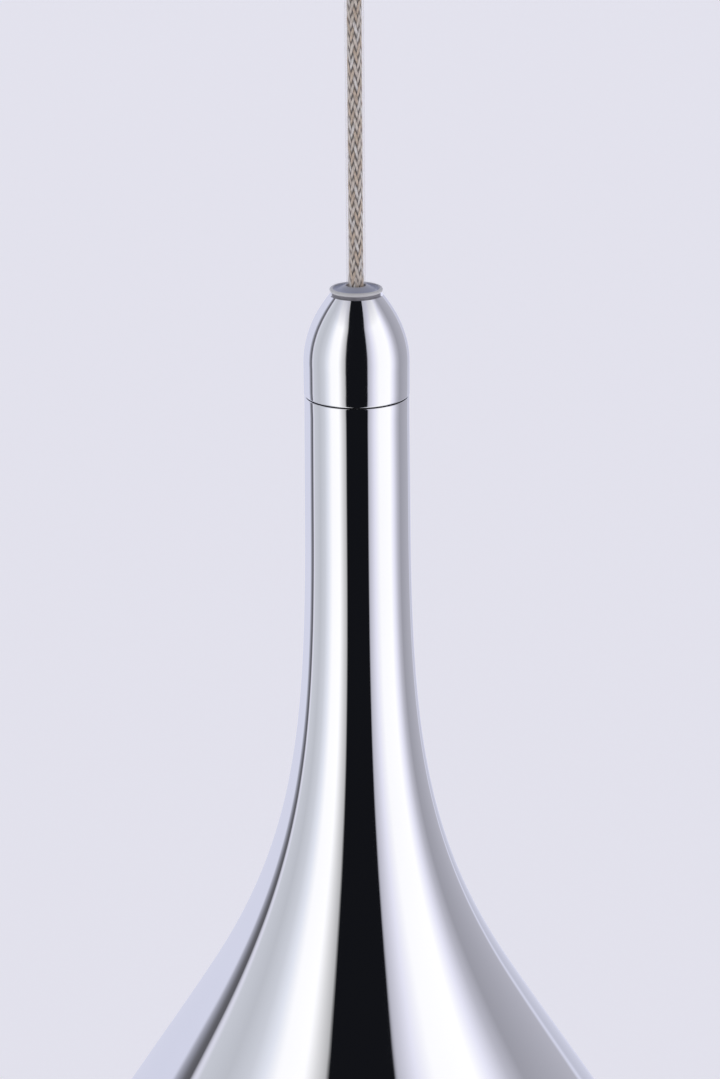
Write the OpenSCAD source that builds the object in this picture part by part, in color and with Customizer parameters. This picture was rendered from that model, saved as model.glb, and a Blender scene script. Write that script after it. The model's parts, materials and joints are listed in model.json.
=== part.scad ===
// Pendant lamp: bell shade on a slim neck, hung from a ceiling canopy on a braided cable.
// Millimetres. +Z is up, and z = 0 is the ceiling. The lamp hangs below it.

/* [Ceiling group] */
// Outside diameter of the ceiling canopy
canopy_d = 100; // [96:1:130]
// Height of the canopy
canopy_h = 28; // [28:1:36]
// Wall thickness of the canopy
canopy_wall = 1.0; // [0.8:0.1:1.4]
// Distance between the two fixing holes of the bracket
bolt_spacing = 60; // [52:1:66]
// Diameter of the fixing holes
bolt_hole_d = 5.0; // [4:0.1:5.5]
// Outside diameter of the cord grip under the canopy
grip_d = 16; // [15.6:0.2:19]

/* [Cable] */
// Outside diameter of the clear cable jacket
cable_d = 6.2; // [6:0.1:6.2]
// Diameter of the braided cable under the jacket
braid_d = 4.7; // [4.4:0.1:4.8]
// Height of the cord grip's mouth above the top of the neck
cable_run = 138; // [130:2:600]

/* [Cap] */
// Outside diameter of the cap
cap_d = 34.2; // [34:0.1:36]
// Height of the cap's straight side
cap_side = 11; // [10:0.5:14]
// Overall height of the cap
cap_h = 33.4; // [33:0.1:38]
// Diameter of the flat top of the cap
cap_top_d = 17.2; // [16.8:0.2:19]
// Wall thickness of the cap
cap_wall = 1.1; // [0.8:0.1:1.1]
// Diameter of the silicone grommet's flange
grommet_d = 17.1; // [16.6:0.1:19]

/* [Shade] */
// Outside diameter of the neck at the top
neck_d = 33.9; // [33.6:0.1:34.2]
// Wall thickness of the shade
shade_wall = 1.2; // [1:0.1:1.4]
// Largest outside diameter of the shade
shade_d = 248; // [220:2:280]
// Outside diameter of the shade's mouth
mouth_d = 236; // [200:2:260]
// Height of the shade from the top of the neck to the mouth
shade_h = 412; // [404:1:440]

/* [Lampholder and bulb] */
// Height of the threaded tube's lower end below the top of the neck
tube_drop = 150; // [148:1:156]
// Outside diameter of the lampholder
holder_d = 40; // [38:0.5:42]
// Diameter of the bulb's glass
bulb_d = 60; // [55:1:65]
// Length of the bulb
bulb_len = 105; // [100:1:112]

/* [Hidden] */
$fn = 96;
seam_z = -(canopy_h + 14 + cable_run);   // top of the neck
pivot_z = -canopy_h - 10;                // where the cable starts to swing
mouth_z = -canopy_h - 14;                // lower end of the cord grip
cable_r = cable_d / 2;
braid_r = braid_d / 2;
tube_r = 4.95;                           // M10 threaded tube
core_z = seam_z - tube_drop;             // lower end of the threaded tube
tip_z = core_z - 17.6;                   // the bulb's contact tip

// ---- curves -------------------------------------------------------------------------
function bez(a, b, c, d, t) =
    pow(1 - t, 3) * a + 3 * pow(1 - t, 2) * t * b + 3 * (1 - t) * t * t * c + pow(t, 3) * d;
function curve(a, b, c, d, n, first = 0) = [for (i = [first:n]) bez(a, b, c, d, i / n)];
function unit(v) = v / norm(v);
// a line moved sideways by w, to the left of its direction of travel
function beside(p, w) = [for (i = [0:len(p) - 1])
    let (t = unit(p[min(i + 1, len(p) - 1)] - p[max(i - 1, 0)])) p[i] + w * [-t[1], t[0]]];
function turned(p) = [for (i = [len(p) - 1:-1:0]) p[i]];

// a solid wall made by turning a line about the Z axis, with its wall on the inside
module spun(line, wall) { rotate_extrude() polygon(concat(line, turned(beside(line, wall)))); }
// a plain ring between two heights
module ring(ro, ri, z0, z1) {
    rotate_extrude() polygon([[ri, z0], [ro, z0], [ro, z1], [ri, z1]]);
}
// a rod between two heights
module rod(r, z0, z1) { translate([0, 0, z0]) cylinder(r = r, h = z1 - z0); }

// a wire swept along a route: eight sides, one ring at each point
function across(p, i, u) = let (t = unit(p[min(i + 1, len(p) - 1)] - p[max(i - 1, 0)]))
    unit(u - (u * t) * t);
function frames(p, i, u) = i >= len(p) ? []
    : let (v = across(p, i, u)) concat([v], frames(p, i + 1, v));
module wire(p, r) {
    n = len(p);
    f = frames(p, 0, [0.3, 1, 0.2]);
    points = [for (i = [0:n - 1])
        let (t = unit(p[min(i + 1, n - 1)] - p[max(i - 1, 0)]), w = cross(t, f[i]))
        for (k = [0:7]) p[i] + r * (cos(45 * k) * f[i] + sin(45 * k) * w)];
    sides = [for (i = [0:n - 2]) for (k = [0:7])
        [8 * i + k, 8 * i + 8 + k, 8 * i + 8 + (k + 1) % 8, 8 * i + (k + 1) % 8]];
    polyhedron(points, concat([[for (k = [0:7]) k]], sides,
        [[for (k = [7:-1:0]) 8 * (n - 1) + k]]), convexity = 6);
}

// ---- ceiling group ------------------------------------------------------------------
ear_x = canopy_d / 2 - canopy_wall - 2.6;   // outer face of the bracket's ears

module ceiling_bracket() color([0.72, 0.72, 0.74]) difference() {
    union() {
        translate([-ear_x, -10, -1.5]) cube([2 * ear_x, 20, 1.5]);
        translate([-7, 9, -1.5]) cube([14, 19, 1.5]);
        for (s = [-1, 1]) translate([s * (ear_x - 0.75) - 0.75, -9, -16]) cube([1.5, 18, 15]);
    }
    for (s = [-1, 1]) {
        translate([s * bolt_spacing / 2, 0, -2]) cylinder(d = bolt_hole_d, h = 3);
        translate([s * ear_x - 3, 0, -9]) rotate([0, 90, 0]) cylinder(r = 2.0, h = 6);
    }
    translate([-16, -5, -2]) cylinder(r = 2.0, h = 3);
    translate([0, 20, -2]) cylinder(r = 1.6, h = 3);
}

module canopy() color([0.82, 0.83, 0.85]) difference() {
    r = canopy_d / 2;
    h = canopy_h;
    spun(concat([[r, -0.4]], curve([r, -h + 9], [r, -h + 4], [r - 4, -h], [r - 9, -h], 8),
        [[5.3, -h]]), -canopy_wall);
    for (s = [-1, 1]) translate([s * r - 4, 0, -9]) rotate([0, 90, 0]) cylinder(r = 2.2, h = 8);
}

module canopy_screws() color([0.8, 0.8, 0.82])
    for (s = [-1, 1]) translate([0, 0, -9]) rotate([0, 90 * s, 0]) difference() {
        r = canopy_d / 2;
        rotate_extrude() polygon([[0, r - 7.5], [1.6, r - 7.5], [1.95, r - 7.1], [1.95, r + 0.2],
            [3.6, r + 0.2], [3.6, r + 1.2], [3.0, r + 2.1], [1.6, r + 2.6], [0, r + 2.7]]);
        translate([-0.4, -4, r + 1.7]) cube([0.8, 8, 3]);
    }

module earth_screw() color([0.78, 0.68, 0.38]) translate([-16, -5, 0]) difference() {
    rotate_extrude() polygon([[0, -0.3], [1.95, -0.3], [1.95, -2.5], [3.8, -2.5],
        [3.8, -4.2], [3.0, -5], [0, -5]]);
    translate([-0.45, -5, -6]) cube([0.9, 10, 2.2]);
    translate([-5, -0.45, -6]) cube([10, 0.9, 2.2]);
}

module terminal_block() color([0.9, 0.9, 0.86]) difference() {
    union() {
        for (s = [-1, 1]) translate([s * 6 - 4.5, 12, -13]) cube([9, 16, 11.5]);
        translate([-3, 14, -13]) cube([6, 12, 8]);
        translate([-3, 14, -5.2]) cube([6, 12, 3.7]);
    }
    for (s = [-1, 1]) {
        translate([s * 6, 8, -8]) rotate([-90, 0, 0]) cylinder(r = 1.6, h = 24);
        for (y = [16, 24]) translate([s * 6, y, -14]) cylinder(r = 1.9, h = 6);
    }
    translate([0, 20, -14]) cylinder(r = 1.6, h = 14);
}

module terminal_block_screw() color([0.75, 0.75, 0.77]) translate([0, 20, 0]) difference() {
    rotate_extrude() polygon([[0, -0.3], [1.5, -0.3], [1.5, -13.1], [2.9, -13.1],
        [2.9, -14.4], [2.3, -15], [0, -15]]);
    translate([-0.4, -4, -16]) cube([0.8, 8, 2.2]);
}

module terminal_screws() color([0.8, 0.72, 0.45])
    for (s = [-1, 1]) for (y = [16, 24]) translate([s * 6, y, 0]) difference() {
        rod(1.8, -12.4, -9.7);
        translate([-0.3, -3, -13]) cube([0.6, 6, 1.4]);
    }

module supply_cable_end() color([0.75, 0.72, 0.66]) rod(cable_r, pivot_z + cable_r + 1.1, -17);

wire_r = 0.95;
module supply_live_wire() color([0.42, 0.24, 0.12]) wire(
    concat([[1.7, 1, -16.9]], curve([1.7, 1, -15], [1.7, 1, -10], [6, 5, -8], [6, 12, -8], 10),
    [[6, 14.5, -8]]), wire_r);
module supply_neutral_wire() color([0.12, 0.3, 0.62]) wire(
    concat([[-1.7, 1, -16.9]],
    curve([-1.7, 1, -15], [-1.7, 1, -10], [-6, 5, -8], [-6, 12, -8], 10),
    [[-6, 14.5, -8]]), wire_r);
module supply_earth_wire() color([0.35, 0.6, 0.2]) wire(concat([[0, -1.9, -16.9]],
    curve([0, -1.9, -15], [0, -1.9, -8], [-2, -5, -3.1], [-6.5, -5, -3.1], 10),
    [[-7.5, -5, -3.1]]), wire_r);
module earth_lug() color([0.8, 0.8, 0.78]) translate([-16, -5, 0]) {
    difference() {
        union() {
            rod(3.8, -2.4, -1.6);
            translate([0, -1.6, -2.4]) cube([6.5, 3.2, 0.8]);
            translate([5, 0, -3.1]) rotate([0, 90, 0]) cylinder(r = 1.5, h = 5);
        }
        rod(2.1, -4, 0);
        translate([6, 0, -3.1]) rotate([0, 90, 0]) cylinder(r = 1.05, h = 7);
    }
}

module cord_grip_body() color([0.82, 0.83, 0.85]) difference() {
    g = grip_d / 2;
    h = -canopy_h;
    rotate_extrude() polygon([[5.3, h - 5.5], [6.4, mouth_z], [g - 0.8, mouth_z],
        [g, mouth_z + 0.8], [g, h - 0.6], [g - 0.5, h - 0.1], [tube_r, h - 0.1], [tube_r, -18],
        [3.4, -18], [3.4, h - 4.8], [5.3, h - 5.5]]);
    translate([0, 0, h - 3]) rotate([-90, 0, 0]) cylinder(r = 1.95, h = 12);
}

module cord_grip_washer() color([0.75, 0.75, 0.77])
    ring(8.6, 5.15, -canopy_h + canopy_wall + 0.05, -canopy_h + canopy_wall + 0.85);

module cord_grip_nut() color([0.75, 0.75, 0.77]) difference() {
    z = -canopy_h + canopy_wall + 0.9;
    translate([0, 0, z]) cylinder(r = 8.08, h = 3, $fn = 6);
    rod(5.05, z - 1, z + 4);
}

module cord_grip_screw() color([0.7, 0.7, 0.72])
    translate([0, 0, -canopy_h - 3]) rotate([-90, 0, 0]) difference() {
        rod(1.85, 3.5, grip_d / 2 - 0.1);
        translate([0, 0, grip_d / 2 - 1.5]) cylinder(r = 1.0, h = 3, $fn = 6);
    }

// a soft bush round the point where the cable bends
module cord_grip_insert() color([0.2, 0.2, 0.21]) translate([0, 0, pivot_z]) rotate_extrude()
    polygon(concat([[3.8, 0]], [for (a = [0:6:30]) [4.95 * cos(a), 4.95 * sin(a)]],
        [[3.8, 2.475]]));

// ---- cable ---------------------------------------------------------------------------
cable_end = seam_z + 15.5;
module cable_jacket() color([0.86, 0.87, 0.88]) rotate_extrude() polygon([
    [braid_r + 0.05, cable_end], [cable_r, cable_end], [cable_r, pivot_z],
    [braid_r + 0.05, pivot_z + 0.6]]);
module cable_braid() color([0.6, 0.57, 0.53]) rotate_extrude() polygon(concat(
    [[0, cable_end], [braid_r, cable_end]],
    [for (a = [0:15:90]) [braid_r * cos(a), pivot_z + braid_r * sin(a)]]));

// ---- cap group -----------------------------------------------------------------------
module grommet() color([0.82, 0.84, 0.85]) translate([0, 0, seam_z]) rotate_extrude()
    polygon(concat(
    [[cable_r + 0.08, cap_h - 4], [cap_top_d / 2 - 1.9, cap_h - 4],
     [cap_top_d / 2 - 1.6, cap_h - 3.2], [cap_top_d / 2 - 1.6, cap_h],
     [cap_top_d / 2 - 0.8, cap_h], [cap_top_d / 2 - 0.8, cap_h + 1.0]],
    [for (a = [-90:22.5:90])
        [grommet_d / 2 - 0.65 + 0.65 * cos(a), cap_h + 1.65 + 0.65 * sin(a)]],
    [[grommet_d / 2 - 1.5, cap_h + 2.05], [grommet_d / 2 - 2, cap_h + 2.0],
     [cable_r + 0.5, cap_h + 3.1], [cable_r + 0.08, cap_h + 3.1]]));

function cap_line() = let (r = cap_d / 2, t = cap_top_d / 2, k = (cap_h - cap_side) / 21.6)
    concat([for (a = [0:18:90]) [r - 1 + cos(90 - a), 1.4 - sin(90 - a)]],
    curve([r, cap_side], [r, cap_side + 8.5 * k], [r - 3.7, cap_side + 15.8 * k], [t, cap_h], 18));
module cap() color([0.84, 0.85, 0.87]) translate([0, 0, seam_z]) rotate_extrude()
    polygon(concat(cap_line(), [[cap_top_d / 2 - 1.5, cap_h],
        [cap_top_d / 2 - 1.5, cap_h - 1.5]],
        turned([for (p = beside(cap_line(), cap_wall)) if (p[1] > 2 && p[1] < cap_h - 1.6) p]),
        [[cap_d / 2 - cap_wall, 0.4]]));

module cord_clamp_body() color([0.8, 0.8, 0.82]) translate([0, 0, seam_z]) difference() {
    rotate_extrude() polygon([[5.05, 8], [7, 8], [7.4, 8.5], [7.4, 22], [6.4, 24.5],
        [3.5, 24.5], [3.5, 15.2], [5.05, 15.2]]);
    translate([0, 0, 20]) rotate([90, 0, 0]) cylinder(r = 1.55, h = 12);
}
module cord_clamp_screw() color([0.6, 0.6, 0.62])
    translate([0, 0, seam_z + 20]) rotate([90, 0, 0]) difference() {
        rod(1.5, 3.5, 7.9);
        translate([-0.3, -3, 7.2]) cube([0.6, 6, 2]);
    }

// ---- neck hardware -------------------------------------------------------------------
module threaded_tube() color([0.7, 0.7, 0.72]) ring(tube_r, 4.0, core_z, seam_z + 14);
module tube_washers() color([0.75, 0.75, 0.77])
    for (z = [3.0, 0.7]) ring(9, 5.05, seam_z + z + 0.05, seam_z + z + 1.05);
module tube_nuts() color([0.78, 0.76, 0.6])
    for (z = [4.15, -2.8]) difference() {
        translate([0, 0, seam_z + z]) cylinder(r = 8.08, h = 3.5, $fn = 6);
        rod(5.05, seam_z + z - 1, seam_z + z + 5);
    }

module lamp_wire(a, tx, ty) {
    wire(concat([[1.75 * cos(a), 1.75 * sin(a), cable_end - 0.4]],
        [for (z = [0:-30:-tube_drop]) [1.75 * cos(a), 1.75 * sin(a), seam_z + z]],
        curve([1.75 * cos(a), 1.75 * sin(a), core_z - 0.5],
              [1.75 * cos(a), 1.75 * sin(a), core_z - 3], [tx, ty, core_z - 2],
              [tx, ty, core_z - 6.2], 8)), wire_r);
}
module lamp_live_wire() color([0.42, 0.24, 0.12]) lamp_wire(90, 0, 7);
module lamp_neutral_wire() color([0.12, 0.3, 0.62]) lamp_wire(210, -7, -7);
module lamp_earth_wire() color([0.35, 0.6, 0.2]) lamp_wire(330, 7, -7);

// ---- shade ---------------------------------------------------------------------------
function shade_line() = let (b = shade_d / 2, m = mouth_d / 2, w = shade_h)
    concat([[neck_d / 2, 0]],
    curve([17.3, -45], [17.9, -119.8], [22.9, -159.2], [53.7, -210], 18),
    curve([53.7, -210], [94, -276.5], [b, -310.5], [b, -375], 16, 1),
    curve([b, -375], [b, -388], [b - 2, 0.4 * -375 - 0.6 * w], [m, -w], 5, 1));
module shade() color([0.84, 0.85, 0.87]) translate([0, 0, seam_z]) {
    line = shade_line();
    rotate_extrude() polygon(concat(
        [[5.1, 1.8], [5.1, 3], [15.3, 3], [15.7, 2.6], [15.7, 0.4], [16.6, 0.4]], line,
        [for (a = [45:-22.5:-225])   // a rolled bead round the mouth
            [mouth_d / 2 - 0.5 + 1.6 * cos(a), -shade_h - 1.4 + 1.6 * sin(a)]],
        turned([for (p = beside(line, -shade_wall)) if (p[1] < -4) p]),
        [[neck_d / 2 - shade_wall, -3], [14.4, -0.6], [14.4, 1.8]]));
}

// ---- lampholder ----------------------------------------------------------------------
hr = holder_d / 2;
module holder_cap() color([0.13, 0.13, 0.14]) translate([0, 0, core_z]) rotate_extrude()
    polygon([[7, 12], [7.7, 12], [8.2, 11.3], [8.2, 4], [hr - 3, 0], [hr - 0.6, -3],
        [hr - 0.6, -13.2], [hr - 2.2, -13.2], [hr - 2.2, -3.6], [hr - 4, -1.7], [8.2, 1.8],
        [7, 1.8]]);
module holder_bush() color([0.7, 0.7, 0.72]) translate([0, 0, core_z]) rotate_extrude()
    polygon([[5.05, 12], [6.95, 12], [6.95, 1.75], [8, 1.75], [8, 1.2], [5.05, 1.2]]);
module holder_core() color([0.9, 0.89, 0.85]) translate([0, 0, core_z]) difference() {
    rod(hr - 2.3, -16.2, -8.2);
    for (p = [[0, 7], [-7, -7], [7, -7]]) translate([p[0], p[1], -10]) cylinder(r = 1.6, h = 4);
    for (a = [35, 145]) translate([11 * cos(a), 11 * sin(a), -12]) cylinder(r = 2, h = 6);
    translate([0, 0, -17]) cylinder(r = 4, h = 2);
}
module holder_terminals() color([0.8, 0.7, 0.42]) translate([0, 0, core_z])
    for (a = [35, 145]) translate([11 * cos(a), 11 * sin(a), 0]) difference() {
        rod(1.9, -11.9, -7.4);
        translate([-2.5, -0.35, -8.2]) cube([5, 0.7, 2]);
    }
module holder_shell() color([0.8, 0.68, 0.4]) translate([0, 0, core_z]) rotate_extrude()
    polygon(concat([for (i = [0:22]) [13.7 + 0.22 * cos(180 * i), -39.1 + i * 1.035]],
        [for (i = [22:-1:0]) [14.3 + 0.22 * cos(180 * i), -39.1 + i * 1.035]]));
module holder_contact() color([0.8, 0.68, 0.4]) translate([0, 0, core_z]) {
    ring(3.6, 1.2, -16.9, -15.2);
    rod(3.0, -17.4, -16.9);
}
module holder_skirt() color([0.13, 0.13, 0.14]) translate([0, 0, core_z]) {
    rotate_extrude() polygon([[15, -16.3], [hr - 2.2, -16.3], [hr - 2.2, -13.3],
        [hr - 0.2, -13.3], [hr, -13.6], [hr, -18], [hr - 1, -18.6], [hr - 1, -36],
        [hr - 2.2, -40.5], [14.0, -40.5], [14.0, -39.2], [15, -39.2]]);
    for (i = [0:4]) rotate_extrude() translate([hr - 1.1, -22 - 2.6 * i])
        polygon([[0, -0.8], [0.8, -0.4], [0.8, 0.4], [0, 0.8]]);
}

// ---- bulb ----------------------------------------------------------------------------
module bulb_glass() color([0.9, 0.93, 0.95]) translate([0, 0, tip_z]) {
    r = bulb_d / 2;
    b = -bulb_len;
    spun(concat([[11.9, -22], [12.2, -27.9], [12.5, -29]],
        curve([12.8, -30], [15.5, -44], [r, b + r + 20], [r, b + r], 12, 1),
        [for (a = [7.5:7.5:82.5]) [r * cos(a), b + r - r * sin(a)]], [[2, b]]), -0.8);
    rod(2.05, b, b + 0.8);
}
module bulb_base() color([0.78, 0.78, 0.76]) translate([0, 0, tip_z]) rotate_extrude()
    polygon(concat([[12.3, -27.6], [13.0, -27.6], [13.0, -25.4]],
        [for (i = [0:12]) [12.75 + 0.25 * cos(180 * i), -24.6 + i * 1.55]],
        [[10.5, -3.6], [9.6, -3.6], [11.9, -6.6], [12.3, -6.9]]));
module bulb_insulator() color([0.1, 0.1, 0.12]) translate([0, 0, tip_z])
    ring(9.55, 4.85, -4.2, -1.2);
module bulb_contact() color([0.78, 0.76, 0.68]) translate([0, 0, tip_z]) rotate_extrude()
    polygon([[0, -3.4], [4.8, -3.4], [4.8, -0.8], [3.4, -0.15], [0, -0.1]]);
module bulb_stem() color([0.88, 0.9, 0.92]) translate([0, 0, tip_z]) rotate_extrude()
    polygon([[0, -21], [10.8, -21], [10.8, -22.5], [5, -34], [3.4, -40], [2.2, -52], [1.6, -53],
        [1.6, -74.8], [0, -74.8]]);
module bulb_filaments() color([0.95, 0.78, 0.35]) translate([0, 0, tip_z]) {
    for (a = [45:90:315]) rotate([0, 0, a]) {
        translate([7, 0, -76]) cylinder(r = 0.9, h = 32, $fn = 24);
        translate([0, -0.25, -75.3]) cube([7, 0.5, 0.5]);
        translate([3.0, -0.25, -45.2]) cube([4, 0.5, 0.5]);
    }
}

// ---- drawing -------------------------------------------------------------------------
ceiling_bracket();
canopy();
canopy_screws();
earth_screw();
terminal_block();
terminal_block_screw();
terminal_screws();
supply_cable_end();
supply_live_wire();
supply_neutral_wire();
supply_earth_wire();
earth_lug();
cord_grip_body();
cord_grip_washer();
cord_grip_nut();
cord_grip_screw();
cord_grip_insert();
cable_jacket();
cable_braid();
grommet();
cap();
cord_clamp_body();
cord_clamp_screw();
threaded_tube();
tube_washers();
tube_nuts();
lamp_live_wire();
lamp_neutral_wire();
lamp_earth_wire();
shade();
holder_cap();
holder_bush();
holder_core();
holder_terminals();
holder_shell();
holder_contact();
holder_skirt();
bulb_glass();
bulb_base();
bulb_insulator();
bulb_contact();
bulb_stem();
bulb_filaments();
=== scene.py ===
"""Looks of the pendant lamp: smooth chrome, braided cable, silicone grommet, studio light."""
import json
import math

import bmesh
import bpy
import numpy as np
from mathutils import Matrix


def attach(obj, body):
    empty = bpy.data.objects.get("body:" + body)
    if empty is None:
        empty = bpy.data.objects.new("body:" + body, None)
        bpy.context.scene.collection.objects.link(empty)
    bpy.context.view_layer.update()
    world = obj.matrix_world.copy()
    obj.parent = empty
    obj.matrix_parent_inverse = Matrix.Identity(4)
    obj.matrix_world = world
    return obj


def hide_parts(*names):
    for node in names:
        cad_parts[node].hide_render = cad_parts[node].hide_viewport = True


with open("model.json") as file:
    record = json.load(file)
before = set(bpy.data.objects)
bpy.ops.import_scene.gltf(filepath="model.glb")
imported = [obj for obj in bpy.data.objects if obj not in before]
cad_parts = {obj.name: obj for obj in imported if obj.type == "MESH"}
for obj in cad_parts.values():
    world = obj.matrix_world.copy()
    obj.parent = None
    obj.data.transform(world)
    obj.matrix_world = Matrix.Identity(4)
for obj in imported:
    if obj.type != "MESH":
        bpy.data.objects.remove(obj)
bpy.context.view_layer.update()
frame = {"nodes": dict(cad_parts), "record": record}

MM = 0.001
BODY = {n: b for b, ns in frame["record"]["behaviour"]["bodies"].items() for n in ns}
SLOT = {s["node"]: s["material_slot"] for s in frame["record"]["subparts"]}

# heights and sizes in mm, as in the part's source, measured from the ceiling
SEAM = -180.0               # where the cap meets the neck
PIVOT = -38.0               # the cable's bending point
MOUTH = -42.0               # lower end of the cord grip
CABLE_END = SEAM + 15.5
CABLE_R = 3.1
BRAID_R = 2.35
CAP_H = 33.4
CAP_TOP_R = 8.6
CANOPY_H = 28.0
CANOPY_HOLE_R = 5.3


# ---- camera --------------------------------------------------------------------------
def make_camera():
    """The photograph's view: about 19 degrees down, 0.97 m away, with a long lens."""
    cam = bpy.data.objects.new("camera", bpy.data.cameras.new("camera"))
    bpy.context.collection.objects.link(cam)
    cam.data.sensor_fit = "VERTICAL"
    cam.data.sensor_height = cam.data.sensor_width = 36
    cam.data.lens = 100.1
    pitch, roll = math.radians(18.9), math.radians(0.4)
    cam.location = (0.00068, -0.93276, SEAM * MM + 0.26991)
    look = Matrix.Rotation(math.pi / 2 - pitch, 4, "X") @ Matrix.Rotation(-roll, 4, "Z")
    cam.rotation_mode = "QUATERNION"
    cam.rotation_quaternion = look.to_quaternion()
    bpy.context.scene.camera = cam
    return cam


make_camera()


# ---- materials -----------------------------------------------------------------------
def material(name, color, metallic=0.0, rough=0.4, **sockets):
    m = bpy.data.materials.new(name)
    m.use_nodes = True
    b = m.node_tree.nodes["Principled BSDF"]
    b.inputs["Base Color"].default_value = (*color, 1)
    b.inputs["Metallic"].default_value = metallic
    b.inputs["Roughness"].default_value = rough
    for key, value in sockets.items():
        b.inputs[key.replace("_", " ")].default_value = value
    return m


def node(m, kind, **props):
    n = m.node_tree.nodes.new(kind)
    for key, value in props.items():
        setattr(n, key, value)
    return n


def coords(m, scale=(1, 1, 1)):
    """Object coordinates in metres, stretched by scale."""
    t = node(m, "ShaderNodeTexCoord")
    p = node(m, "ShaderNodeMapping")
    p.inputs["Scale"].default_value = scale
    m.node_tree.links.new(t.outputs["Object"], p.inputs["Vector"])
    return p.outputs["Vector"]


def noise(m, scale, detail=3.0, stretch=(1, 1, 1)):
    n = node(m, "ShaderNodeTexNoise")
    n.inputs["Scale"].default_value = scale
    n.inputs["Detail"].default_value = detail
    m.node_tree.links.new(coords(m, stretch), n.inputs["Vector"])
    return n.outputs["Fac"]


def between(m, value, low, high, lo_in=0.3, hi_in=0.7):
    """value from lo_in..hi_in onto low..high."""
    r = node(m, "ShaderNodeMapRange")
    r.inputs["From Min"].default_value = lo_in
    r.inputs["From Max"].default_value = hi_in
    r.inputs["To Min"].default_value = low
    r.inputs["To Max"].default_value = high
    m.node_tree.links.new(value, r.inputs["Value"])
    return r.outputs["Result"]


def mottle(m, value, dark, light, lo=0.3, hi=0.7):
    """The base colour runs from dark to light with value."""
    r = node(m, "ShaderNodeValToRGB")
    r.color_ramp.elements[0].position, r.color_ramp.elements[1].position = lo, hi
    r.color_ramp.elements[0].color = (*dark, 1)
    r.color_ramp.elements[1].color = (*light, 1)
    m.node_tree.links.new(value, r.inputs["Fac"])
    b = m.node_tree.nodes["Principled BSDF"]
    m.node_tree.links.new(r.outputs["Color"], b.inputs["Base Color"])
    return m


def roughen(m, value, low, high):
    b = m.node_tree.nodes["Principled BSDF"]
    m.node_tree.links.new(between(m, value, low, high), b.inputs["Roughness"])
    return m


def bump(m, value, strength, distance):
    n = node(m, "ShaderNodeBump")
    n.inputs["Strength"].default_value = strength
    n.inputs["Distance"].default_value = distance
    m.node_tree.links.new(value, n.inputs["Height"])
    b = m.node_tree.nodes["Principled BSDF"]
    m.node_tree.links.new(n.outputs["Normal"], b.inputs["Normal"])
    return m


def metal(name, dark, light, rough=(0.2, 0.3), grain=60, stretch=(1, 1, 1)):
    m = material(name, light, 1.0, rough[0])
    mottle(m, noise(m, grain, 4, stretch), dark, light)
    return roughen(m, noise(m, grain * 3, 2, stretch), *rough)


def plastic(name, dark, light, rough=(0.3, 0.45), grain=90, **sockets):
    m = material(name, light, 0.0, rough[0], **sockets)
    mottle(m, noise(m, grain, 3), dark, light)
    return roughen(m, noise(m, grain * 2, 2), *rough)


def chrome(name, rough=(0.02, 0.05), wave=0.000008, size=110):
    """Bright plating over slightly wavy sheet, with a trace of polishing marks."""
    m = metal(name, (0.90, 0.90, 0.915), (0.94, 0.94, 0.95), rough, 14, (1, 1, 0.4))
    return bump(m, noise(m, size, 1, (1, 1, 0.35)), 1.0, wave)


LOOK = {
    "shade_chrome": chrome("shade_chrome"),
    "cap_chrome": chrome("cap_chrome", (0.05, 0.1), 0.000003, 900),
    "canopy_chrome": chrome("canopy_chrome", (0.03, 0.07)),
    "zinc_steel": metal("zinc_steel", (0.50, 0.51, 0.53), (0.66, 0.67, 0.70), (0.28, 0.42)),
    "brass": metal("brass", (0.62, 0.45, 0.18), (0.80, 0.62, 0.30), (0.22, 0.34)),
    "ivory_plastic": plastic("ivory_plastic", (0.70, 0.68, 0.58), (0.80, 0.78, 0.70)),
    "black_plastic": plastic("black_plastic", (0.012, 0.012, 0.013), (0.03, 0.03, 0.032)),
    "bush_rubber": plastic("bush_rubber", (0.02, 0.02, 0.02), (0.05, 0.05, 0.052), (0.6, 0.8)),
    "brown_insulation": plastic("brown_insulation", (0.09, 0.035, 0.015), (0.15, 0.06, 0.03)),
    "blue_insulation": plastic("blue_insulation", (0.015, 0.06, 0.26), (0.03, 0.10, 0.36)),
    "ceramic": plastic("ceramic", (0.72, 0.71, 0.66), (0.84, 0.83, 0.79), (0.12, 0.2),
                       Coat_Weight=0.5),
    "bulb_metal": metal("bulb_metal", (0.62, 0.62, 0.61), (0.78, 0.78, 0.77), (0.2, 0.32)),
    "bulb_insulator": plastic("bulb_insulator", (0.006, 0.006, 0.008), (0.02, 0.02, 0.025),
                              (0.08, 0.15)),
    "filament": plastic("filament", (0.75, 0.42, 0.06), (0.90, 0.58, 0.12), (0.5, 0.65)),
}


def striped_green():
    """Green insulation with a yellow stripe down it."""
    m = plastic("green_insulation", (0.04, 0.16, 0.02), (0.07, 0.24, 0.04))
    w = node(m, "ShaderNodeTexWave")
    w.inputs["Scale"].default_value = 90
    w.inputs["Distortion"].default_value = 0.4
    m.node_tree.links.new(coords(m, (1, 1, 0.15)), w.inputs["Vector"])
    return mottle(m, w.outputs["Fac"], (0.05, 0.20, 0.03), (0.62, 0.55, 0.04), 0.55, 0.62)


LOOK["green_insulation"] = striped_green()


def clear_glass():
    m = material("clear_glass", (0.97, 0.985, 0.98), 0.0, 0.0, Transmission_Weight=1.0, IOR=1.45)
    return roughen(m, noise(m, 30), 0.0, 0.02)


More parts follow.
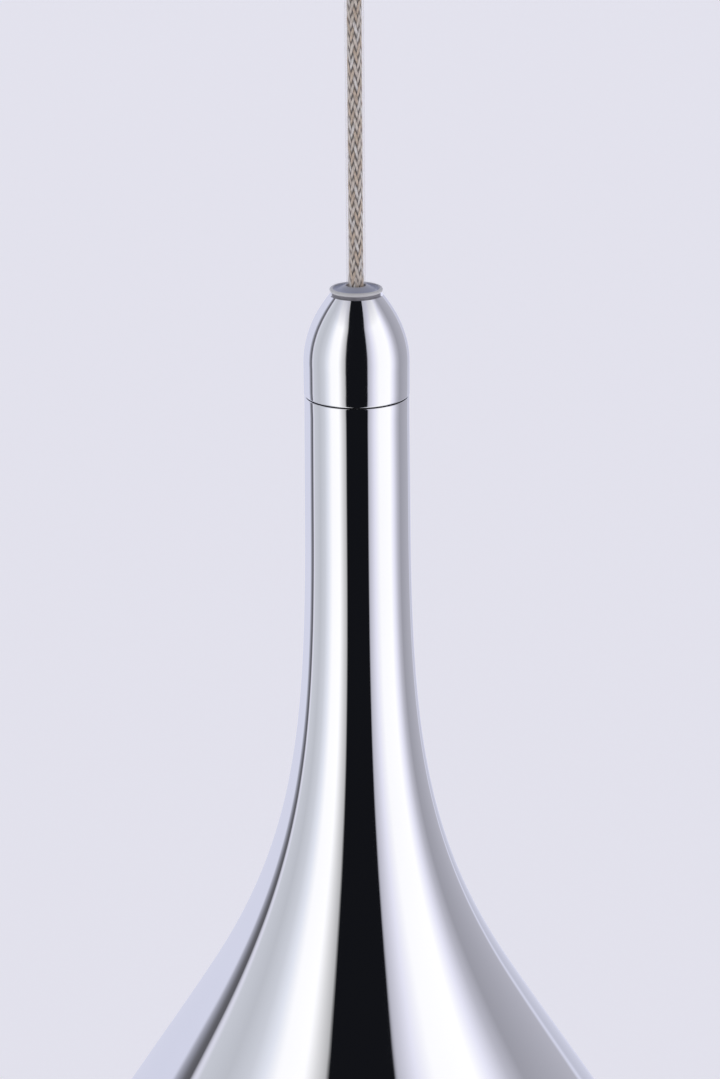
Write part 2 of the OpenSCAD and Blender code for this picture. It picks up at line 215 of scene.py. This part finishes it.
def clear_jacket():
    """Soft clear tube: thin, with a milky trace that shows at its edges."""
    m = material("clear_jacket", (0.93, 0.91, 0.90), 0.0, 0.22, Alpha=0.1, IOR=1.4)
    b = m.node_tree.nodes["Principled BSDF"]
    b.inputs["Specular IOR Level"].default_value = 0.12
    edge = node(m, "ShaderNodeLayerWeight")
    edge.inputs["Blend"].default_value = 0.35
    see = between(m, edge.outputs["Facing"], 0.05, 0.3, 0.2, 0.95)
    m.node_tree.links.new(see, b.inputs["Alpha"])
    mottle(m, noise(m, 160, 3, (1, 1, 0.3)), (0.84, 0.80, 0.78), (0.95, 0.92, 0.91))
    return roughen(m, noise(m, 120), 0.16, 0.3)


def radius_of(m):
    """Distance from the lamp's axis, in metres."""
    parts, flat = node(m, "ShaderNodeSeparateXYZ"), node(m, "ShaderNodeCombineXYZ")
    out = node(m, "ShaderNodeVectorMath", operation="LENGTH")
    link = m.node_tree.links.new
    link(coords(m), parts.inputs[0])
    for axis in "XY":
        link(parts.outputs[axis], flat.inputs[axis])
    link(flat.outputs[0], out.inputs[0])
    return out.outputs["Value"]


def silicone():
    """Milky soft rubber, with painted shade and a painted blue reflection in its dish: darker
    grey at the cable, blue-grey over the groove, paler at the rim.
    """
    m = material("silicone", (0.80, 0.81, 0.85), 0.0, 0.35, IOR=1.41, Coat_Weight=0.15)
    # colour by distance from the axis, the same all round: painted shade near the cable and a
    # painted blue reflection over the groove
    r = node(m, "ShaderNodeValToRGB")
    e = r.color_ramp.elements
    e[0].position, e[0].color = 0.0, (0.48, 0.48, 0.52, 1)
    e[1].position, e[1].color = 1.0, (0.74, 0.735, 0.72, 1)
    for at, color in ((0.3, (0.44, 0.46, 0.55)), (0.55, (0.41, 0.435, 0.55)),
                      (0.75, (0.41, 0.435, 0.56)), (0.86, (0.66, 0.66, 0.66))):
        e.new(at).color = (*color, 1)
    link = m.node_tree.links.new
    link(between(m, radius_of(m), 0, 1, 0.0032, 0.0085), r.inputs["Fac"])
    link(r.outputs["Color"], m.node_tree.nodes["Principled BSDF"].inputs["Base Color"])
    return roughen(m, noise(m, 300), 0.28, 0.42)


LOOK["clear_glass"] = clear_glass()
LOOK["clear_jacket"] = clear_jacket()
LOOK["silicone"] = silicone()
# dark silicone for the plug under the grommet's flange, inside the cap: painted shade
painted_shade_under_flange = plastic("silicone_shaded", (0.26, 0.25, 0.27), (0.36, 0.35, 0.38), (0.4, 0.5), 400)
# the seat under the cap: unplated metal, made near-black as painted shade for the gap at the seam
seat_shade_look = metal("dark_seat_painted_shade", (0.10, 0.10, 0.11), (0.16, 0.16, 0.17), (0.5, 0.6))
enamel = plastic("shade_enamel", (0.78, 0.775, 0.76), (0.86, 0.855, 0.84), (0.3, 0.4), 25)


def strand(name, dark, light):
    """Fine filaments: pale where they lie outermost, darkened to brown and near-black by painted
    shade where a strand dives under the next.
    """
    m = material(name, light, 0.0, 0.34, Sheen_Weight=0.2)
    link = m.node_tree.links.new
    r = node(m, "ShaderNodeValToRGB")
    e = r.color_ramp.elements
    # painted shade by depth: near-black deepest under the crossing strands, the dark colour
    # midway, the light colour outermost
    e[0].position, e[0].color = 0.0, (0.055, 0.045, 0.04, 1)
    e[1].position, e[1].color = 1.0, (*light, 1)
    e.new(0.5).color = (*dark, 1)
    link(between(m, radius_of(m), 0, 1, 0.00200, 0.00230), r.inputs["Fac"])
    fine = noise(m, 2600, 2, (1, 1, 0.16))
    tone = node(m, "ShaderNodeMix", data_type="RGBA", blend_type="MULTIPLY")
    tone.inputs["Factor"].default_value = 1.0
    streak = node(m, "ShaderNodeValToRGB")
    e = streak.color_ramp.elements
    e[0].position, e[0].color = 0.3, (0.62, 0.57, 0.53, 1)
    e[1].position, e[1].color = 0.6, (1, 1, 1, 1)
    link(fine, streak.inputs["Fac"])
    link(r.outputs["Color"], tone.inputs["A"])
    link(streak.outputs["Color"], tone.inputs["B"])
    link(tone.outputs["Result"], m.node_tree.nodes["Principled BSDF"].inputs["Base Color"])
    return bump(m, fine, 0.4, 0.00006)


LOOK["braid"] = strand("braid", (0.40, 0.34, 0.28), (0.92, 0.83, 0.73))
LOOK["braid_warm"] = strand("braid_warm", (0.34, 0.26, 0.18), (0.84, 0.69, 0.54))
LOOK["braid_pale"] = strand("braid_pale", (0.46, 0.42, 0.38), (0.98, 0.94, 0.89))
# the core under the braid: near-black as painted shade showing through the braid's gaps
LOOK["core"] = plastic("core", (0.03, 0.024, 0.02), (0.06, 0.05, 0.04), (0.7, 0.8))

for name, obj in frame["nodes"].items():
    obj.data.materials.clear()
    obj.data.materials.append(LOOK[SLOT[name]])


# ---- smooth turned pieces ------------------------------------------------------------
def bez(a, b, c, d, t):
    a, b, c, d = map(np.array, (a, b, c, d))
    t = np.asarray(t)[:, None]
    return (1 - t) ** 3 * a + 3 * (1 - t) ** 2 * t * b + 3 * (1 - t) * t * t * c + t ** 3 * d


def curve(a, b, c, d, n, first=0):
    return bez(a, b, c, d, np.arange(first, n + 1) / n)


def beside(line, w):
    """A line moved sideways by w, to the left of its direction of travel."""
    p = np.asarray(line, float)
    t = np.empty_like(p)
    t[1:-1] = p[2:] - p[:-2]
    t[0], t[-1] = p[1] - p[0], p[-1] - p[-2]
    t /= np.linalg.norm(t, axis=1)[:, None]
    return p + w * np.stack([-t[:, 1], t[:, 0]], 1)


def rounded(points, r, n=6):
    """A closed outline with its corners rounded. r holds one radius for each point."""
    points = np.asarray(points, float)
    out = []
    for i, p in enumerate(points):
        back, ahead = points[i - 1] - p, points[(i + 1) % len(points)] - p
        back_len, ahead_len = np.linalg.norm(back), np.linalg.norm(ahead)
        if r[i] <= 0:
            out.append(p)
            continue
        cut = min(r[i], back_len * 0.45, ahead_len * 0.45)
        start, end = p + back / back_len * cut, p + ahead / ahead_len * cut
        for t in np.linspace(0, 1, n + 1):
            out.append((1 - t) ** 2 * start + 2 * (1 - t) * t * p + t * t * end)
    return np.array(out)


def lathe(name, outline, looks, around=192, z0=0.0, split=None):
    """A turned solid. outline is a closed line of (radius, height) in mm, off the axis. split
    gives each segment's material index."""
    line = np.asarray(outline, float)
    turn = np.arange(around) / around * 2 * math.pi
    verts = [(r * math.cos(q) * MM, r * math.sin(q) * MM, (z + z0) * MM)
             for r, z in line for q in turn]
    faces, mats = [], []
    for i in range(len(line)):
        here, below = i * around, (i + 1) % len(line) * around
        for k in range(around):
            q = (k + 1) % around
            faces.append((here + k, here + q, below + q, below + k))
            mats.append(0 if split is None else split[i])
    return finish_mesh(name, verts, faces, mats, looks)


def finish_mesh(name, verts, faces, mats, looks, sharp=32):
    """A smooth-shaded object, with edges sharper than sharp degrees kept as edges."""
    me = bpy.data.meshes.new(name)
    me.from_pydata([tuple(map(float, v)) for v in verts], [], faces)
    me.validate()
    bm = bmesh.new()
    bm.from_mesh(me)
    bmesh.ops.recalc_face_normals(bm, faces=bm.faces)
    bm.to_mesh(me)
    bm.free()
    for look in looks:
        me.materials.append(look)
    me.polygons.foreach_set("material_index", mats)
    me.polygons.foreach_set("use_smooth", [True] * len(me.polygons))
    me.set_sharp_from_angle(angle=math.radians(sharp))
    ob = bpy.data.objects.new(name, me)
    bpy.context.collection.objects.link(ob)
    return ob


def stands_for(obj, cad_node):
    """The object takes the place of a node and on its body."""
    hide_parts(cad_node)
    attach(obj, BODY[cad_node])
    return obj


def arc(cx, cz, r, a0, a1, n):
    q = np.radians(np.linspace(a0, a1, n))
    return np.stack([cx + r * np.cos(q), cz + r * np.sin(q)], 1)


def make_shade():
    """Neck and bell: plated outside, enamel inside, and an unplated seat where the cap covers it,
    near-black as painted shade for the gap at the seam.
    """
    wall = 1.2
    line = np.concatenate([
        arc(16.6, -0.35, 0.35, 90, 0, 6),
        curve((16.95, -0.8), (17.07, -15), (17.18, -30), (17.3, -45), 10, 1),
        curve((17.3, -45), (17.9, -119.8), (22.9, -159.2), (53.7, -210), 70, 1),
        curve((53.7, -210), (94, -276.5), (124, -310.5), (124, -375), 60, 1),
        curve((124, -375), (124, -388), (122, -397.2), (118, -412), 20, 1)])
    bead = arc(117.5, -413.4, 1.6, 45, -225, 28)
    inner = beside(line, -wall)
    inner = inner[inner[:, 1] < -4][::-1]
    top = rounded([(15.75, -3), (14.4, -0.6), (14.4, 1.8), (5.1, 1.8), (5.1, 3), (15.7, 3),
                   (15.7, 0)], [0, .5, .5, 0, 0, .4, .3], 4)
    o = np.concatenate([line, bead, inner, top])
    split = np.zeros(len(o), int)
    body = len(line) + len(bead)
    split[body - len(bead) // 2: body + len(inner)] = 1
    # the seat under the cap gets the near-black metal: painted shade in the seam's gap
    split[body + len(inner):] = 2
    return lathe("shade", o, [LOOK["shade_chrome"], enamel, seat_shade_look], 320, SEAM, split)


def make_cap():
    r, t, h, side, wall = 17.1, CAP_TOP_R, CAP_H, 11.0, 1.1
    k = (h - side) / 21.6
    line = np.concatenate([
        arc(r - 0.5, 0.9, 0.5, -90, 0, 9),
        curve((r, 1.0), (r, 4), (r, 8), (r, side), 4, 1),
        curve((r, side), (r, side + 8.5 * k), (r - 3.7, side + 15.8 * k), (t, h), 60, 1)])
    inner = beside(line, wall)
    inner = inner[(inner[:, 1] > 2) & (inner[:, 1] < h - 1.6)][::-1]
    top = [(t - 0.15, h), (t - 1.5, h), (t - 1.5, h - 1.5)]
    o = np.concatenate([line, top, inner, [(r - wall, 0.4)]])
    return lathe("cap", o, [LOOK["cap_chrome"]], 256, SEAM)


def make_canopy():
    r, h, hole, wall = 50.0, CANOPY_H, CANOPY_HOLE_R, 1.0
    line = np.concatenate([
        [(r, -0.4)], curve((r, -1), (r, -5), (r, -12), (r, 9 - h), 6),
        curve((r, 9 - h), (r, 4 - h), (r - 4, -h), (r - 9, -h), 24, 1), [(30, -h), (hole, -h)]])
    inner = beside(line, -wall)[::-1]
    inner[0], inner[-1] = (hole, wall - h), (r - wall, -0.4)
    return lathe("canopy", np.concatenate([line, inner]), [LOOK["canopy_chrome"]], 192)


def make_grip():
    """The collar under the canopy, with its stub up through the canopy's hole."""
    h, g, stub, bore = -CANOPY_H, 8.0, 4.95, 3.4
    o = rounded([(5.3, h - 5.5), (6.4, MOUTH), (g, MOUTH), (g, h - 0.1), (stub, h - 0.1),
                 (stub, -18), (bore, -18), (bore, h - 4.8)],
                [.2, .3, .8, .6, .1, .3, .2, .3], 5)
    return lathe("cord_grip_body", o, [LOOK["canopy_chrome"]], 96)


def make_grommet():
    """A flange with a dished top over a plug in the cap's hole."""
    h, t, f, bore, below = CAP_H, CAP_TOP_R, 8.55, 3.18, 8
    o = np.concatenate([
        [(bore, h - 4), (t - 1.9, h - 4), (t - 1.6, h - 3.2), (t - 1.6, h), (t - 0.8, h),
         (t - 0.8, h + 1.0)],
        arc(f - 0.65, h + 1.65, 0.65, -90, 90, 13),
        curve((f - 1.0, h + 2.2), (f - 1.3, h + 1.7), (f - 1.7, h + 1.55), (f - 2.3, h + 1.7), 8),
        curve((f - 2.3, h + 1.7), (5.4, h + 1.95), (4.3, h + 2.75), (3.7, h + 3.05), 8, 1),
        [(3.4, h + 3.1), (bore, h + 3.0)]])
    # the points below the flange get the dark silicone: painted shade on the plug inside the cap
    split = [1 if i < below else 0 for i in range(len(o))]
    return lathe("grommet", o, [LOOK["silicone"], painted_shade_under_flange], 128, SEAM, split)


stands_for(make_shade(), "shade")
stands_for(make_cap(), "cap")
stands_for(make_canopy(), "canopy")
stands_for(make_grip(), "cord_grip_body")
stands_for(make_grommet(), "grommet")


# ---- cable ---------------------------------------------------------------------------
STRANDS = 12                # in each direction
LEAD = 51.6                 # height of one turn, mm
BRAID_TOP = PIVOT + 1.2
STEPS, RING = 190, 10       # sections along a strand, points round it
BENDS = 11                  # stretches in which a strand wanders sideways


def tube_faces(steps, ring):
    """Faces of a tube of steps rings of ring points, with its ends closed."""
    faces = []
    for i in range(steps - 1):
        for k in range(ring):
            a, b = i * ring + k, i * ring + (k + 1) % ring
            faces.append((a, b, b + ring, a + ring))
    return faces + [tuple(range(ring)), tuple(range((steps - 1) * ring, steps * ring))]


def strand_verts(s, way):
    """One flat strand, over two and under two. way is 1 or -1, its hand."""
    wide, thick, mid, lift = 0.455, 0.22, BRAID_R - 0.39, 0.17
    first = math.radians(-60)
    lean = math.atan2(2 * math.pi * BRAID_R * way, LEAD)
    rng = np.random.default_rng(100 + s + (50 if way > 0 else 0))
    sway = rng.uniform(-0.06, 0.06, BENDS + 1)
    wide *= rng.uniform(0.93, 1.06)
    verts = []
    for i, z in enumerate(np.linspace(BRAID_TOP, CABLE_END, STEPS)):
        a = 2 * math.pi * (s / STRANDS + way * z / LEAD)
        over = max(-1, min(1, 1.5 * math.cos(a * STRANDS / 2 - math.pi / 4)))
        a += first + 0.35 * np.interp(i / (STEPS - 1) * BENDS, range(BENDS + 1), sway)
        # the braid is a little fuller just above the grommet
        flare = 0.16 * math.exp(-((z - SEAM - 38) / 2.2) ** 2)
        r = mid + flare + way * lift * over
        out = np.array([math.cos(a), math.sin(a), 0])
        along = np.array([-math.sin(a), math.cos(a), 0])
        side = along * math.cos(lean) - np.array([0, 0, math.sin(lean)])
        for k in range(RING):
            q = 2 * math.pi * k / RING
            p = out * (r + thick * math.sin(q)) + side * wide * math.cos(q)
            verts.append((p + np.array([0, 0, z])) * MM)
    return verts


def core_verts(steps, ring):
    r = BRAID_R - 0.45
    return [(r * math.cos(2 * math.pi * k / ring) * MM, r * math.sin(2 * math.pi * k / ring) * MM,
             z * MM) for z in np.linspace(BRAID_TOP, CABLE_END, steps) for k in range(ring)]


def make_braid():
    """Flat strands, twelve each way, on a core coloured near-black as painted shade in the gaps
    between them.
    """
    looks = [LOOK["braid"], LOOK["braid_warm"], LOOK["braid_pale"], LOOK["core"]]
    pieces = [(strand_verts(s, way), tube_faces(STEPS, RING))
              for way in (1, -1) for s in range(STRANDS)]
    pieces.append((core_verts(40, 24), tube_faces(40, 24)))
    all_verts, all_faces, mats = [], [], []
    for n, (verts, faces) in enumerate(pieces):
        start = len(all_verts)
        all_verts += verts
        all_faces += [tuple(start + v for v in f) for f in faces]
        look = 3 if n == 2 * STRANDS else (0, 1, 0, 2, 1, 0, 0, 1, 2)[n % 9]
        mats += [look] * len(faces)
    return finish_mesh("braid", all_verts, all_faces, mats, looks, 60)


JACKET_RINGS = [CABLE_END + (PIVOT - CABLE_END) * i / 30 for i in range(31)]


def make_jacket():
    inner = BRAID_R + 0.05
    o = [(inner, PIVOT), (inner, CABLE_END)] + [(CABLE_R, z) for z in JACKET_RINGS]
    return lathe("cable_jacket_clear", o, [LOOK["clear_jacket"]], 64)


braid = stands_for(make_braid(), "cable_braid")
jacket = stands_for(make_jacket(), "cable_jacket")


# ---- stage: light, floor, background ---------------------------------------------------
def level(v, tint=(1, 1, 1)):
    """A screen value of 0 to 255 as light."""
    c = [max(0.0, v * t / 255) for t in tint]
    return [(x / 12.92 if x <= 0.04045 else ((x + 0.055) / 1.055) ** 2.4) for x in c] + [1]


PLATING = 0.965             # part of the light that the plating gives back, in screen values
COOL = (0.985, 0.985, 1.05)
PLAIN = (1, 1, 1.01)
BLUE = (0.99, 1.0, 1.085)
GREY = (0.985, 1.0, 1.045)
DARK = (0.9, 0.95, 1.15)
# the studio as it is seen from the lamp: bearing from the camera's side, brightness, tint
STUDIO = [
    (-180, 207, BLUE), (-126, 211, BLUE), (-123.5, 165, BLUE), (-120.5, 134, BLUE),
    (-117.5, 100, COOL), (-113.8, 86, COOL), (-112, 200, COOL), (-110, 222, COOL),
    (-107, 199, GREY), (-90, 189, GREY), (-76, 204, GREY), (-66, 228, GREY),
    (-57, 252, PLAIN), (-40, 256, PLAIN), (-32, 216, PLAIN), (-25, 178, PLAIN),
    (-23, 20, DARK), (22.5, 20, DARK), (24.5, 182, COOL), (38, 229, COOL),
    (50, 251, PLAIN), (76, 256, PLAIN), (85, 234, COOL), (97, 186, COOL),
    (107, 157, COOL), (145, 178, COOL), (148, 216, BLUE), (151, 188, BLUE),
    (165, 202, BLUE), (173, 214, BLUE), (180, 226, BLUE)]


def studio_light():
    """Soft boxes and dark gaps round the lamp, seen in its plating, on a plain background."""
    w = bpy.data.worlds.new("studio")
    bpy.context.scene.world = w
    w.use_nodes = True
    t = w.node_tree
    t.nodes.clear()
    new, link = t.nodes.new, t.links.new
    where, parts = new("ShaderNodeTexCoord"), new("ShaderNodeSeparateXYZ")
    link(where.outputs["Generated"], parts.inputs[0])

    def math_node(op, a, b=None):
        n = new("ShaderNodeMath")
        n.operation = op
        for i, v in enumerate((a, b)):
            if isinstance(v, (int, float)):
                n.inputs[i].default_value = v
            elif v is not None:
                link(v, n.inputs[i])
        return n.outputs[0]

    # looking up, the bearing turns towards the camera's side
    over = math_node("MAXIMUM", math_node("SUBTRACT", parts.outputs["Z"], 0.6), 0.0)
    over = math_node("MULTIPLY", over, 0.8)
    flipped = math_node("SUBTRACT", over, parts.outputs["Y"])
    bearing = math_node("ARCTAN2", parts.outputs["X"], flipped)
    turn = math_node("MULTIPLY_ADD", bearing, 1 / (2 * math.pi))
    turn.node.inputs[2].default_value = 0.5
    ramp = new("ShaderNodeValToRGB")
    ramp.color_ramp.interpolation = "LINEAR"
    e = ramp.color_ramp.elements
    while len(e) > 1:
        e.remove(e[-1])
    for i, (deg, value, tint) in enumerate(STUDIO):
        stop = e[0] if i == 0 else e.new(deg / 360 + 0.5)
        stop.position = deg / 360 + 0.5
        stop.color = level(value / PLATING, tint)
    link(turn, ramp.inputs["Fac"])
    # above the soft boxes the walls are grey
    height = new("ShaderNodeMapRange")
    height.inputs["From Min"].default_value = 0.55
    height.inputs["From Max"].default_value = 0.9
    link(parts.outputs["Z"], height.inputs["Value"])
    mix = new("ShaderNodeMix")
    mix.data_type, mix.blend_type = "RGBA", "DARKEN"
    link(height.outputs["Result"], mix.inputs["Factor"])
    link(ramp.outputs["Color"], mix.inputs["A"])
    mix.inputs["B"].default_value = level(188, COOL)
    back = new("ShaderNodeBackground")
    link(mix.outputs["Result"], back.inputs["Color"])
    plain = new("ShaderNodeBackground")
    plain.inputs["Color"].default_value = level(229, (0.995, 0.992, 1.022))
    seen, blend = new("ShaderNodeLightPath"), new("ShaderNodeMixShader")
    out = new("ShaderNodeOutputWorld")
    link(seen.outputs["Is Camera Ray"], blend.inputs["Fac"])
    link(back.outputs[0], blend.inputs[1])
    link(plain.outputs[0], blend.inputs[2])
    link(blend.outputs[0], out.inputs["Surface"])
    w.cycles.sampling_method = "AUTOMATIC"


studio_light()


def make_floor():
    me = bpy.data.meshes.new("floor")
    s, z = 14.0, -1.1
    me.from_pydata([(-s, -s, z), (s, -s, z), (s, s, z), (-s, s, z)], [], [(0, 1, 2, 3)])
    ob = bpy.data.objects.new("floor", me)
    bpy.context.collection.objects.link(ob)
    m = material("floor", (0.55, 0.545, 0.575), 0.0, 1.0, Emission_Strength=0.635)
    m.node_tree.nodes["Principled BSDF"].inputs["Emission Color"].default_value = (
        0.765, 0.758, 0.812, 1)
    me.materials.append(m)
    ob.visible_glossy = False
    return ob


make_floor()

view = bpy.context.scene.view_settings
view.view_transform, view.look, view.exposure, view.gamma = "Standard", "None", 0.0, 1.0
